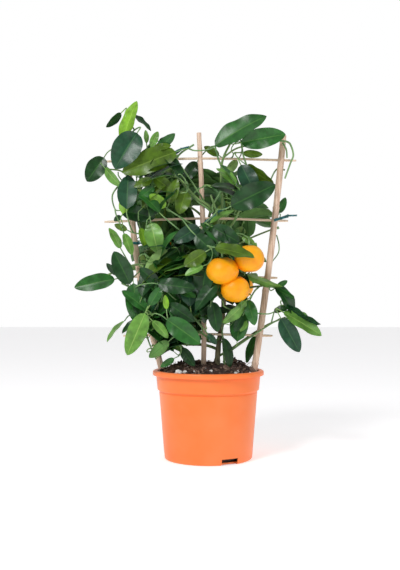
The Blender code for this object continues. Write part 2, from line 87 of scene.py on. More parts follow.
# The trellis, as in the frame: feet, tops and bows of the canes, and the splints' points
CANES = {
    "cane_left": {"foot": -62.6, "top": (-108.0, 431.0), "bow": -12.0, "diameter": 9.6},
    "cane_middle": {"foot": -6.5, "top": (-12.7, 439.5), "bow": 3.0, "diameter": 8.0},
    "cane_right": {"foot": 62.3, "top": (101.8, 436.0), "bow": 2.5, "diameter": 10.0},
}
CANE_FOOT = 60.0
CANE_SIDES, CANE_STEPS = 20, 150
CANE_HOLE, CANE_HOLE_DEPTH = 0.45, 9.0     # the hollow's share of the radius, and how deep it goes
CANE_NODES = {"cane_left": (150, 262, 384), "cane_middle": (176, 290, 398),
              "cane_right": (128, 226, 338, 404)}
SPLINT_RADIUS = 1.7
SPLINTS = {
    "splint_top": ((-142.0, 400.6), (-11.0, 404.8), (119.0, 402.0)),
    "splint_upper": ((-140.5, 319.0), (-6.0, 323.6), (108.0, 320.3)),
    "splint_lower": ((-123.5, 244.5), (-6.0, 245.6), (93.5, 243.2)),
    "splint_bottom": ((-115.0, 164.8), (-7.0, 167.0), (87.0, 164.8)),
}

# The limbs, as in the frame: centre line, and radius at each end
TRUNK_LINE = ((11.5, 6, 124), (15, 6.2, 159), (21, 6.4, 206), (18, 6.6, 245), (10, 6.6, 282), (4, 6.4, 311))
TRUNK_RADII = (3.7, 2.3)
FLARE_RADIUS, FLARE_HEIGHT = 7.4, 14.0
BOUGHS = {
    "bough_upper_left": (2.1, 1.5, ((4, 6.4, 306), (1, 8.2, 324), (2, -6, 338), (-18, -10, 352),
                                    (-38, -12, 374), (-58, -20, 384))),
    "bough_upper_middle": (1.9, 1.4, ((5, 6.4, 303), (10, -3, 309), (12, -12, 326), (3, -24, 352))),
    "bough_upper_right": (2.0, 1.4, ((6, 6.4, 300), (15, 8, 322), (19, 4, 345), (17, -8, 372),
                                     (19, -12, 400), (30, -14, 424))),
    "bough_right": (1.9, 1.4, ((8, 6.4, 291), (20, -2, 300), (34, -14, 318), (42, -20, 334))),
    "bough_fruit": (2.0, 1.6, ((16, 6.5, 254), (27, -4, 260), (34, -16, 262), (36, -32, 262))),
    "bough_middle": (1.9, 1.4, ((10, 6.6, 280), (9, -4, 288), (2, -12, 288), (-12, -20, 286))),
    "bough_left": (2.3, 1.3, ((20, 6.4, 222), (-6, 10, 232), (-42, 5, 254), (-76, -9, 262),
                              (-108, -10, 258), (-136, -15, 246))),
    "bough_lower_left": (2.1, 1.5, ((14, 6.2, 146), (-6, 10, 152), (-36, 3, 154), (-56, -10, 166),
                                    (-78, -17, 186))),
    "bough_lower_middle": (1.9, 1.4, ((16, 6.2, 163), (9, -1, 157), (3, -9, 160), (-12, -18, 172))),
    "bough_under_fruit": (1.7, 1.3, ((20, 6.4, 196), (28, -3, 198), (34, -10, 198), (41, -19, 196))),
    "bough_right_middle": (1.7, 1.2, ((20, 6.5, 220), (42, 6, 224), (56, -4, 230), (72, -14, 232))),
    "bough_lower_right": (1.6, 1.1, ((13, 6.2, 136), (33, 9, 148), (59, 9.5, 166), (78, 8, 178),
                                     (92, -2, 185), (102, -16, 190))),
    "bough_top_left": (1.7, 1.2, ((-70, -7, 260), (-74, -10.5, 300), (-88, -11, 345), (-110, -12, 385),
                                  (-114, -16, 432))),
    "bough_right_edge": (1.6, 1.1, ((13, 6.6, 271), (30, 13, 284), (62, 15, 300), (97, 18, 314))),
    "bough_foot": (1.3, 1.0, ((14.6, 6.1, 155), (20, 0, 157), (24, -6, 156), (27, -12, 150))),
    "bough_far_left": (1.2, 1.0, ((-107, -12, 378), (-118, -14, 386), (-138, -16, 388))),
    "bough_top_right_low": (1.3, 1.0, ((20, -12, 404), (38, -13, 416), (62, -16, 421))),
    "bough_back_upper_left": (1.9, 1.4, ((5, 6.4, 304), (-1, 12, 318), (-14, 18, 334), (-34, 26, 348))),
    "bough_back_upper_right": (1.9, 1.4, ((7, 6.4, 295), (14, 13, 312), (24, 20, 328), (36, 30, 340))),
    "bough_back_left": (1.9, 1.4, ((13, 6.6, 268), (2, 14, 274), (-18, 20, 272), (-40, 28, 268))),
    "bough_back_right": (1.9, 1.4, ((20, 6.5, 232), (28, 14, 240), (36, 22, 248), (42, 32, 254))),
    "bough_back_lower": (1.9, 1.4, ((15, 6.2, 154), (4, 15, 162), (-18, 22, 170), (-38, 30, 174))),
}

# Leaf tints: upper side, underside and midrib, as linear colours
TINTS = {
    "dark": ((0.009, 0.050, 0.010), (0.075, 0.185, 0.045), (0.030, 0.105, 0.020)),
    "blue": ((0.012, 0.060, 0.026), (0.090, 0.200, 0.075), (0.040, 0.120, 0.045)),
    "mid": ((0.022, 0.115, 0.018), (0.110, 0.245, 0.060), (0.065, 0.185, 0.035)),
    "olive": ((0.070, 0.140, 0.008), (0.150, 0.245, 0.045), (0.130, 0.220, 0.025)),
    "light": ((0.130, 0.300, 0.050), (0.230, 0.390, 0.120), (0.260, 0.440, 0.100)),
    "lime": ((0.190, 0.400, 0.025), (0.270, 0.440, 0.080), (0.300, 0.500, 0.070)),
}

# Leaves seen in the photograph: base, tip and width in its pixels, depth at the base and the
# tip in millimetres, how the blade lies, and its tint. "up" turns the upper side to the camera
# and the sky, "down" to the camera and the ground, and "under" shows the underside.
PHOTO_LEAVES = (
    (122, 141.5, 136.8, 101, 15, -17, -19, "up", "lime"),
    (121, 113, 106.2, 127.2, 6, -12, -12, "down", "dark"),
    (131.7, 114.5, 151, 131, 6, -12, -12, "up", "dark"),
    (137, 133, 115, 169, 29, -28, -34, "up", "blue"),
    (104, 157.5, 87, 181.5, 20, -16, -19, "up", "dark"),
    (105, 168, 122, 186.6, 9, -20, -22, "down", "light"),
    (151, 147, 158, 131.5, 8, -22, -22, "up", "light"),
    (156, 149, 175, 133.5, 9, -20, -24, "down", "mid"),
    (152, 149, 171, 145.5, 8, -26, -24, "up", "olive"),
    (159, 141, 174, 137.5, 6, -18, -18, "up", "dark"),
    (146.5, 143, 145.6, 130, 5, -18, -18, "up", "light"),
    (176, 152, 122, 172.6, 25, -24, -34, "up", "olive"),
    (152, 179, 134, 187, 9, -30, -34, "up", "olive"),
    (154, 187, 137, 200, 10, -28, -32, "up", "mid"),
    (154, 177, 175, 193, 13, -26, -28, "up", "olive"),
    (169, 203, 177.5, 179, 12, -30, -32, "up", "olive"),
    (165.5, 207, 149.6, 194.5, 12, -32, -36, "down", "lime"),
    (186, 191, 179, 214, 16, -22, -28, "up", "olive"),
    # This olive leaf behind the trellis takes the dark tint: painted shade.
    (197, 162, 184, 181, 13, 12, 10, "up", "dark"),
    (219, 155.5, 204, 146.5, 8, 8, 8, "up", "olive"),
    (215, 146, 266.6, 116, 22, -16, -19, "up", "mid"),
    (241.4, 142.7, 285.6, 134.3, 21, -17, -20, "up", "mid"),
    (243, 153, 262.5, 154.5, 7, -13, -13, "down", "olive"),
    (237, 160, 226.5, 174, 9, 9, 9, "under", "light"),
    (247, 165, 273.7, 183.4, 9, -22, -26, "down", "olive"),
    (241, 165, 257, 197, 19, -26, -32, "up", "blue"),
    (231.2, 206, 275.4, 184.6, 25, -34, -38, "up", "dark"),
    (279, 213, 285.6, 197.5, 8, 9, 9, "up", "mid"),
    (210, 222.8, 234.7, 210.2, 6, -14, -18, "up", "light"),
    (121.5, 210.5, 154.7, 218.2, 16, -13, -15, "down", "dark"),
    (121, 216, 114, 221, 6, -12, -12, "up", "dark"),
    (120.5, 248.2, 109, 228, 8, -18, -20, "up", "light"),
    (127, 230, 114.4, 224.5, 7, -14, -14, "up", "olive"),
    (140.5, 228, 145.5, 248.2, 8, -14, -16, "up", "lime"),
    (151, 223, 158, 253, 19, -22, -28, "up", "light"),
    (124, 233.5, 132, 255, 9, -16, -18, "up", "light"),
    (167, 250, 145, 271.5, 14, -30, -34, "under", "light"),
    (150, 258, 168, 271, 9, -26, -30, "under", "mid"),
    (199, 227, 174, 242, 16, -32, -38, "up", "blue"),
    (195.5, 235, 218, 257, 17, -42, -48, "up", "dark"),
    (212.5, 227, 239.5, 242.5, 17, -40, -46, "down", "dark"),
    (242, 237, 255, 244, 7, -28, -30, "up", "light"),
    (215, 247.5, 254.4, 257.5, 13, -62, -69, "up", "olive"),
    (205.5, 252, 184, 266, 15, -50, -54, "up", "olive"),
    (203, 266, 185, 275.5, 8, -52, -56, "up", "light"),
    (114.8, 279.2, 74.3, 287.5, 17, -16, -19, "up", "mid"),
    (130, 284, 113.9, 251.4, 19, -34, -38, "up", "dark"),
    (119.4, 275.2, 106.4, 263.4, 7, -24, -26, "down", "dark"),
    (158, 284, 139.5, 268, 13, -40, -44, "up", "dark"),
    (147, 310, 121.9, 290.7, 11, -46, -46, "up", "mid"),
    (146, 312, 127.4, 303, 11, -42, -42, "down", "dark"),
    (158, 284, 195.3, 288.7, 16, -52, -56, "up", "dark"),
    (178, 291, 196.3, 297, 7, -46, -48, "up", "mid"),
    (169, 304, 194.6, 321.5, 14, -44, -48, "up", "dark"),
    (166.5, 309, 165, 295, 6, -50, -50, "up", "lime"),
    (150, 305, 161.5, 286.6, 11, -50, -52, "up", "mid"),
    (145, 313.4, 127.2, 355.3, 20, -56, -62, "up", "light"),
    (152.5, 321, 168, 338, 9, -52, -54, "up", "light"),
    (168.5, 341.5, 149, 357.5, 12, -46, -48, "under", "mid"),
    (174, 358.5, 160.5, 367, 7, -40, -44, "up", "mid"),
    (167, 319.5, 200.4, 343.5, 21, -54, -60, "up", "mid"),
    (124.4, 321, 107, 342, 5, -34, -38, "up", "light"),
    (138, 320, 122, 333.5, 6, -38, -40, "up", "dark"),
    (181, 348, 194.5, 366, 11, -34, -40, "up", "dark"),
    (218.8, 282, 195.8, 310.5, 14, -48, -52, "up", "dark"),
    (212.5, 302, 217.5, 332, 15, -42, -46, "up", "dark"),
    (208, 334, 216.7, 344.5, 7, -32, -34, "up", "blue"),
    (246, 301, 222.5, 323, 11, -34, -40, "down", "light"),
    (247.7, 300, 254.6, 325.3, 13, -30, -34, "up", "mid"),
    (242.5, 316, 234.5, 332, 9, -24, -26, "up", "dark"),
    (248, 321, 240, 331.5, 6, -20, -22, "up", "light"),
    (223.5, 338, 229.5, 368.3, 10, -14, -15, "up", "dark"),
    (259.5, 334, 246.6, 363, 9, 10, 8, "up", "mid"),
    (246.2, 274, 282.6, 286.8, 7, -22, -22, "down", "light"),
    (277, 287, 287.4, 280.6, 6, -12, -12, "up", "mid"),
    (276, 289, 294.4, 297.7, 7, -18, -20, "down", "mid"),
    (274, 312, 291, 306.8, 6, -20, -20, "up", "dark"),
    (287.4, 304.4, 320.7, 324.4, 9, -22, -22, "down", "blue"),
    (295.9, 309.8, 311, 320, 4, -18, -18, "up", "light"),
    (283.2, 312.3, 321.6, 335.6, 15, -25, -22, "up", "light"),
    (281, 318.5, 299.5, 352.2, 18, -24, -24, "up", "blue"),
)

# Shoots seen in the photograph: radius and depth in millimetres, and points in its pixels
PHOTO_SHOOTS = (
    (1.6, -7.0, ((212, 213), (207.8, 208.6), (194.4, 198.1), (180, 179), (175.2, 168.4), (179, 155),
                 (194, 144.5))),
    (1.2, -6.0, ((206, 205), (203.9, 201), (192.5, 182.8), (180, 164.6))),
    (1.5, -7.0, ((213, 212), (213, 205), (221, 190), (222, 170), (218, 158), (215, 146))),
    (1.0, -12.0, ((156, 215), (142.7, 203), (120.7, 179), (118, 172))),
    (0.9, -12.0, ((158, 214), (146, 200), (126, 178))),
    (1.3, -14.0, ((241, 140), (243.5, 156), (248.4, 169.4))),
    (0.8, -12.0, ((242, 142), (236, 142.5), (231.6, 148), (233, 153), (242, 152))),
    (1.4, -8.0, ((279.3, 140.6), (287.7, 142), (291.2, 146.2), (293.3, 155.3), (290.5, 163), (284.9, 178.5))),
    (1.2, -7.0, ((282.8, 142.7), (286.3, 149.7), (287, 158))),
    (1.2, 8.0, ((284.9, 170), (277.2, 169), (271.6, 177.8), (268, 190))),
    (0.9, 6.0, ((276.6, 235), (278.9, 244.6), (278.3, 253), (272, 262))),
    (1.1, -10.0, ((226, 356), (232.2, 349.9), (251.8, 336.2), (264.4, 328), (271.1, 323.8), (281, 318))),
    (1.0, -9.0, ((271.1, 323.8), (272.9, 316.5), (275, 309))),
    (1.3, -14.0, ((121.7, 283.2), (135, 290), (150, 300))),
    (1.6, 2.0, ((224.5, 368), (223.6, 350), (222, 330))),
)

# Sky that shows through the crown: centre and half sizes in the photograph's pixels
SKY_GAPS = ((266.0, 167.5, 11.0, 9.0), (167.0, 234.0, 4.5, 7.5), (249.6, 228.5, 2.0, 3.5),
            (260.5, 228.5, 4.0, 5.5), (199.3, 294.5, 3.0, 4.5), (193.0, 325.5, 2.5, 2.0),
            (250.0, 343.0, 10.0, 16.0), (192.0, 148.0, 14.0, 9.0))

# Lines of the trellis that no leaf hides: their ends in pixels and the space kept round them
CLEAR_LINES = (((283.0, 137.0), (254.0, 372.0), 6.0), ((198.5, 133.0), (206.0, 213.0), 6.0),
               ((178.0, 155.0), (296.0, 159.0), 3.0), ((104.0, 220.5), (204.0, 218.0), 3.0),
               ((128.0, 226.0), (137.0, 268.0), 5.0), ((206.0, 333.0), (270.0, 334.0), 3.0))

# Fruits: centre in pixels, width and height in millimetres, depth, and tilt of the stalk
FRUITS = (((222.5, 270.9), 42.2, 36.5, -47.0, (8, -12)), ((234.9, 289.0), 38.6, 35.0, -42.0, (16, 10)),
          ((249.5, 258.8), 38.8, 36.5, -44.0, (-4, 20)))
FRUITS_BEHIND = (((-58.0, 62.0, 292.0), 37.0, 34.0, (10, 160)), ((46.0, 66.0, 232.0), 39.0, 35.0, (6, 200)))

# Twist ties: both ends in pixels and the depth, then the wire, its loops' reach and their pitch
TIES = (((272.6, 221.0), (288.0, 216.0), 0.0), ((202.5, 225.0), (219.5, 211.5), 0.0),
        ((123.0, 243.3), (139.0, 243.0), 0.0), ((171.0, 155.5), (181.0, 149.5), -8.0))
TIE_WIRE, TIE_REACH, TIE_PITCH = 0.95, 6.4, 1.9

# A blade's thickness, and the strips across it for leaves in the photograph and for the others
LEAF_THICKNESS = 0.35
FINE = (-1.0, -0.8, -0.55, -0.3, -0.05, 0.05, 0.3, 0.55, 0.8, 1.0)
PLAIN = (-1.0, -0.55, -0.06, 0.06, 0.55, 1.0)

# Sprays that fill the masses: one for so many cubic millimetres of a mass's box, behind a depth
SPRAY_VOLUME = 6500.0
FILL_FRONT = -44.0
SPRAY_LENGTH = (26, 46)
LEAVES_IN_SPRAY = (5, 7)
LEAF_TURN = math.radians(137.5)
LEAF_ANGLE = (42, 78)
LEAF_LENGTH = (38, 64)
LENGTH_TO_WIDTH = (1.9, 2.4)
PETIOLE = 7
TINT_SHARES = (48, 12, 24, 10, 5, 1)

# Strength of the studio's light from the camera's side and from behind the plant
ROOM_LIGHT, BACKDROP_LIGHT = 0.18, 0.72


def from_photo(px, py, depth):
    """The place, in millimetres, of a pixel of the photograph at a depth behind the trellis."""
    reach = (depth - CAMERA.y) / FOCAL_PIXELS
    return Vector((CAMERA.x + (px - PHOTO_WIDTH / 2) * reach, depth, CAMERA.z + (HORIZON - py) * reach))


def to_photo(point):
    """The pixel of the photograph that shows a place."""
    reach = FOCAL_PIXELS / (point.y - CAMERA.y)
    return PHOTO_WIDTH / 2 + (point.x - CAMERA.x) * reach, HORIZON - (point.z - CAMERA.z) * reach


class Batch:
    """Many small closed shapes that become one mesh with a few materials."""

    def __init__(self):
        self.vertices, self.faces, self.kinds = [], [], []

    def add(self, vertices, faces, kinds=0):
        first = len(self.vertices)
        self.vertices += vertices
        self.faces += [tuple(first + i for i in face) for face in faces]
        self.kinds += kinds if isinstance(kinds, list) else [kinds] * len(faces)


def add_object(name, data):
    made = bpy.data.objects.new(name, data)
    bpy.context.scene.collection.objects.link(made)
    return made


def make_piece(name, batch, materials, sharp=60.0):
    """Turns a batch into a smooth-shaded object that rides on the plant."""
    mesh = bpy.data.meshes.new(name)
    mesh.from_pydata([v * MM for v in batch.vertices], [], batch.faces)
    for material in materials:
        mesh.materials.append(material)
    mesh.polygons.foreach_set("material_index", batch.kinds)
    mesh.shade_smooth()
    mesh.set_sharp_from_angle(angle=math.radians(sharp))
    made = add_object(name, mesh)
    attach(made, BODY)
    return made


# Materials

def new_material(name, colour, roughness, **settings):
    """A Principled material. Settings are further sockets by name."""
    material = bpy.data.materials.new(name)
    material.use_nodes = True
    shader = material.node_tree.nodes["Principled BSDF"]
    shader.inputs["Base Color"].default_value = (*colour, 1.0)
    shader.inputs["Roughness"].default_value = roughness
    for socket, value in settings.items():
        shader.inputs[socket.replace("_", " ")].default_value = value
    return material, material.node_tree, shader


def add_noise(tree, scale, detail=4.0, stretch=(1.0, 1.0, 1.0)):
    """A noise texture in object space, in cycles per metre, and its factor socket."""
    place = tree.nodes.new("ShaderNodeTexCoord")
    mapping = tree.nodes.new("ShaderNodeMapping")
    mapping.inputs["Scale"].default_value = stretch
    texture = tree.nodes.new("ShaderNodeTexNoise")
    texture.inputs["Scale"].default_value = scale
    texture.inputs["Detail"].default_value = detail
    tree.links.new(place.outputs["Object"], mapping.inputs["Vector"])
    tree.links.new(mapping.outputs["Vector"], texture.inputs["Vector"])
    return texture.outputs["Fac"]


def colour_by(tree, shader, factor, low, high, start=0.35, end=0.65):
    """Colours the surface from one tone to the other along a factor."""
    ramp = tree.nodes.new("ShaderNodeValToRGB")
    ramp.color_ramp.elements[0].position = start
    ramp.color_ramp.elements[1].position = end
    ramp.color_ramp.elements[0].color = (*low, 1.0)
    ramp.color_ramp.elements[1].color = (*high, 1.0)
    tree.links.new(factor, ramp.inputs["Fac"])
    tree.links.new(ramp.outputs["Color"], shader.inputs["Base Color"])


def add_bump(tree, shader, factor, strength, distance):
    bump = tree.nodes.new("ShaderNodeBump")
    bump.inputs["Strength"].default_value = strength
    bump.inputs["Distance"].default_value = distance
    tree.links.new(factor, bump.inputs["Height"])
    tree.links.new(bump.outputs["Normal"], shader.inputs["Normal"])


def shade(colour, factor):
    return tuple(min(1.0, channel * factor) for channel in colour)


def grained_material(name, low, high, roughness, grain, relief, strength, reach, span=(0.35, 0.65),
                     **settings):
    """A surface mottled between two tones, with a fine relief. Grain and relief are noises."""
    middle = [(a + b) / 2 for a, b in zip(low, high)]
    material, tree, shader = new_material(name, middle, roughness, **settings)
    colour_by(tree, shader, add_noise(tree, *grain), low, high, *span)
    add_bump(tree, shader, add_noise(tree, *relief), strength, reach)
    return material


def leaf_material(name, colour, roughness, spread, gloss):
    """A leaf side: faint mottling between two tones and a soft cell relief."""
    return grained_material(name, shade(colour, 1 - spread), shade(colour, 1 + spread), roughness,
                            (95.0,), (900.0, 2.0), 0.25, 0.0003, Specular_IOR_Level=gloss)


def pot_material():
    return grained_material("pot_plastic", (0.98, 0.205, 0.038), (1.0, 0.25, 0.07), 0.36,
                            (14.0,), (420.0, 3.0), 0.08, 0.0004, Specular_IOR_Level=0.35)


def mix_material():
    return grained_material("potting_mix", (0.012, 0.006, 0.005), (0.10, 0.055, 0.04), 0.95,
                            (420.0, 8.0), (900.0, 8.0), 0.9, 0.002)


def crumb_material(name, low, high):
    return grained_material(name, low, high, 0.9, (260.0, 6.0), (1500.0, 4.0), 0.6, 0.001)


def bamboo_material(name):
    """Split bamboo: long pale fibres up the cane."""
    return grained_material(name, (0.50, 0.30, 0.19), (0.83, 0.63, 0.49), 0.5, (700.0, 5.0, (1.0, 1.0, 0.03)),
                            (1400.0, 3.0, (1.0, 1.0, 0.04)), 0.35, 0.0006, (0.3, 0.6))


def splint_material():
    return grained_material("splint_wood", (0.66, 0.44, 0.28), (0.90, 0.72, 0.54), 0.6,
                            (900.0, 4.0, (0.03, 1.0, 1.0)), (1500.0, 3.0, (0.03, 1.0, 1.0)), 0.4, 0.0006,
                            (0.25, 0.6))


def bark_material():
    streaks = (420.0, 6.0, (1.0, 1.0, 0.18))
    return grained_material("bark", (0.050, 0.048, 0.022), (0.240, 0.215, 0.125), 0.85, streaks, streaks,
                            0.8, 0.001, (0.3, 0.62))


def shoot_material(name, low, high):
    return grained_material(name, low, high, 0.42, (160.0, 3.0, (1.0, 1.0, 0.4)),
                            (900.0, 3.0, (1.0, 1.0, 0.2)), 0.3, 0.0005)


def tie_material():
    return grained_material("twist_tie", (0.008, 0.085, 0.08), (0.05, 0.23, 0.26), 0.38, (300.0, 2.0),
                            (900.0, 2.0), 0.3, 0.0005)


def peel_material():
    """Ripe citrus peel: even yellow orange, with the fine pits of its oil glands."""
    material, tree, shader = new_material("fruit_peel", (1.0, 0.42, 0.004), 0.36, Specular_IOR_Level=0.35)
    colour_by(tree, shader, add_noise(tree, 60.0, 3.0), (1.0, 0.33, 0.002), (1.0, 0.47, 0.008), 0.3, 0.7)
    place = tree.nodes.new("ShaderNodeTexCoord")
    cells = tree.nodes.new("ShaderNodeTexVoronoi")
    cells.inputs["Scale"].default_value = 900.0
    tree.links.new(place.outputs["Object"], cells.inputs["Vector"])
    add_bump(tree, shader, cells.outputs["Distance"], 0.35, 0.0005)
    return material


# Shapes

def smooth_line(points, steps):
    """A Catmull-Rom curve through the points."""
    points = [Vector(p) for p in points]
    padded = [points[0] * 2 - points[1], *points, points[-1] * 2 - points[-2]]
    line = []
    for i in range(1, len(padded) - 2):
        before, start, end, after = padded[i - 1:i + 3]
        for step in range(steps):
            t = step / steps
            line.append(0.5 * (2 * start + (end - before) * t
                               + (2 * before - 5 * start + 4 * end - after) * t ** 2
                               + (3 * start - before - 3 * end + after) * t ** 3))
    line.append(points[-1])
    return line


def tube(line, radius_at, sides):
    """Vertices and faces of a closed tube. radius_at takes the share of length and the turn."""
    vertices = []
    across = None
    for i, centre in enumerate(line):
        tangent = (line[min(i + 1, len(line) - 1)] - line[max(i - 1, 0)]).normalized()
        if across is None:
            across = tangent.cross(Vector((0, 1, 0)))
            if across.length < 0.1:
                across = tangent.cross(Vector((0, 0, 1)))
        across = (across - tangent * across.dot(tangent)).normalized()
        up = tangent.cross(across)
        for side in range(sides):
            turn = 2 * math.pi * side / sides
            radius = radius_at(i / (len(line) - 1), turn)
            vertices.append(centre + (across * math.cos(turn) + up * math.sin(turn)) * radius)
    faces = []
    for ring in range(len(line) - 1):
        for side in range(sides):
            a, b = ring * sides + side, ring * sides + (side + 1) % sides
            faces.append((a, b, b + sides, a + sides))
    faces.append(tuple(range(sides - 1, -1, -1)))
    faces.append(tuple(range((len(line) - 1) * sides, len(line) * sides)))
    return vertices, faces


def taper(start, end):
    return lambda share, turn: start + (end - start) * share


def closed_faces(sides, rings):
    """Faces of a closed shape: a pole, rings of vertices and another pole."""
    last, faces = 1 + sides * rings, []
    for side in range(sides):
        after = (side + 1) % sides
        faces.append((0, 1 + after, 1 + side))
        faces.append((last, last - sides + side, last - sides + after))
        for ring in range(rings - 1):
            a, b = 1 + ring * sides + side, 1 + ring * sides + after
            faces.append((a, b, b + sides, a + sides))
    return faces


def ball(turns, rings):
    """Unit directions and faces of a closed ball."""
    directions = [Vector((0, 0, -1))]
    for ring in range(1, rings):
        tilt = math.pi * ring / rings
        for side in range(turns):
            turn = 2 * math.pi * side / turns
            directions.append(Vector((math.sin(tilt) * math.cos(turn), math.sin(tilt) * math.sin(turn),
                                      -math.cos(tilt))))
    directions.append(Vector((0, 0, 1)))
    return directions, closed_faces(turns, rings - 1)


def lathe(profile, sides, lift=None):
    """A closed solid of revolution whose profile starts and ends on the axis."""
    vertices = [Vector((0, 0, profile[0][1]))]
    for radius, height in profile[1:-1]:
        for side in range(sides):
            turn = 2 * math.pi * side / sides
            x, y = radius * math.cos(turn), radius * math.sin(turn)
            vertices.append(Vector((x, y, height + (lift(x, y, height) if lift else 0.0))))
    top = profile[-1][1]
    vertices.append(Vector((0, 0, top + (lift(0.0, 0.0, top) if lift else 0.0))))
    return vertices, closed_faces(sides, len(profile) - 2)


# The pot and its mix

def inner_radius(height):
    """The pot's inner wall at a height."""
    if height >= COLLAR_BOTTOM:
        share = (height - COLLAR_BOTTOM) / (POT_HEIGHT - COLLAR_BOTTOM)
        return COLLAR_RADIUS + (COLLAR_TOP_RADIUS - COLLAR_RADIUS) * share - WALL
    return BASE_RADIUS + (BODY_TOP_RADIUS - BASE_RADIUS) * min(1.0, height / BODY_TOP) - WALL


def arc(centre, radius, start, end, steps=5):
    """Points of an arc in the profile, angles in degrees from the outward direction."""
    angles = [math.radians(start + (end - start) * i / steps) for i in range(steps + 1)]
    return [(centre[0] + radius * math.cos(a), centre[1] + radius * math.sin(a)) for a in angles]


def pot_profile():
    lip_bottom = POT_HEIGHT - LIP_DEPTH
    base = arc((BASE_RADIUS - BASE_ROUNDING, BASE_ROUNDING), BASE_ROUNDING, -90, 0)
    groove = [(BODY_TOP_RADIUS, BODY_TOP), (BODY_TOP_RADIUS - GROOVE_DEPTH, BODY_TOP + 0.5),
              (BODY_TOP_RADIUS - GROOVE_DEPTH, BODY_TOP + GROOVE_HEIGHT - 0.5),
              (BODY_TOP_RADIUS, BODY_TOP + GROOVE_HEIGHT)]
    collar = arc((COLLAR_RADIUS - 1.2, COLLAR_BOTTOM + 0.6), 1.2, -60, 0)
    under_lip = [(COLLAR_TOP_RADIUS, lip_bottom - 2), (COLLAR_TOP_RADIUS, POT_HEIGHT - 2.4),
                 (LIP_RADIUS - WALL, POT_HEIGHT - 2.4), (LIP_RADIUS - WALL, lip_bottom + 0.4)]
    lip = arc((LIP_RADIUS - 0.7, lip_bottom + 0.7), 0.7, -120, 0)
    lip += arc((LIP_RADIUS - 2.6, POT_HEIGHT - 2.6), 2.6, 0, 90)
    rim = arc((inner_radius(POT_HEIGHT) + 1.6, POT_HEIGHT - 1.6), 1.6, 90, 180)
    inside = [(inner_radius(COLLAR_BOTTOM), COLLAR_BOTTOM), (inner_radius(BODY_TOP), BODY_TOP),
              (inner_radius(8.0), 8.0), (inner_radius(FLOOR) - 2.0, FLOOR)]
    return [(0.0, 0.0), *base, *groove, *collar, *under_lip, *lip, *rim, *inside, (0.0, FLOOR)]


def cut_notches(pot):
    """Opens the three drainage notches in the pot's foot."""
    for angle in NOTCH_ANGLES:
        cutter = bpy.data.meshes.new("notch_cutter")
        half, far, near = NOTCH_WIDTH / 2, BASE_RADIUS + NOTCH_DEPTH, BASE_RADIUS - NOTCH_DEPTH
        turn = Matrix.Rotation(math.radians(angle), 3, "Z")
        corners = [turn @ Vector((x, y, z)) * MM
                   for x in (-half, half) for y in (-far, -near) for z in (-NOTCH_HEIGHT, NOTCH_HEIGHT)]
        faces = [(0, 1, 3, 2), (4, 6, 7, 5), (0, 4, 5, 1), (2, 3, 7, 6), (0, 2, 6, 4), (1, 5, 7, 3)]
        cutter.from_pydata(corners, [], faces)
        box = add_object("notch_cutter", cutter)
        modifier = pot.modifiers.new("notch", "BOOLEAN")
        modifier.solver = "EXACT"
        modifier.object = box
        cut = bpy.data.meshes.new_from_object(pot.evaluated_get(bpy.context.evaluated_depsgraph_get()))
        pot.modifiers.clear()
        pot.data = cut
        bpy.data.objects.remove(box)


def make_pot():
    batch = Batch()
    batch.add(*lathe(pot_profile(), POT_SIDES))
    pot = make_piece("pot_shell", batch, [pot_material()], sharp=35.0)
    cut_notches(pot)
    pot.data.set_sharp_from_angle(angle=math.radians(35))
    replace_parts(pot, "pot")


def soil_top(x, y, rough=1.0):
    """Height of the mix's surface."""
    radius = math.hypot(x, y)
    heap = SOIL_HEAP * (1.0 - (radius / COLLAR_RADIUS) ** 2)
    for hill_x, hill_y, rise, spread in SOIL_HILLS:
        heap += rise * math.exp(-((x - hill_x) ** 2 + (y - hill_y) ** 2) / spread ** 2)
    heap += rough * (1.6 * noise.noise(Vector((x, y, 0)) / 16) + 1.5 * noise.noise(Vector((x, y, 9)) / 5)
                     + 0.8 * noise.noise(Vector((x, y, 3)) / 2))
    return SOIL_EDGE + min(1.0, max(0.0, (COLLAR_RADIUS - radius) / 12.0)) * heap


def rough_lump(centre, sizes, turned, turns=7, rings=5):
    """An angular crumb: a small ball pushed about by noise."""
    directions, faces = ball(turns, rings)
    seed = centre * 0.7
    vertices = []
    for direction in directions:
        push = 1.0 + 0.45 * noise.noise(direction * 1.7 + seed)
        vertices.append(centre + turned @ Vector([direction[i] * sizes[i] * push for i in range(3)]))
    return vertices, faces


def random_turn():
    axis = Vector((RNG.gauss(0, 1), RNG.gauss(0, 1), RNG.gauss(0, 1))).normalized()
    return Matrix.Rotation(RNG.uniform(0, math.tau), 3, axis)


def on_soil(margin=3.0):
    """A random place on the mix inside the wall."""
    radius = (inner_radius(POT_HEIGHT) - margin) * math.sqrt(RNG.random())
    turn = RNG.uniform(0, math.tau)
    x, y = radius * math.cos(turn), radius * math.sin(turn)
    return Vector((x, y, soil_top(x, y)))


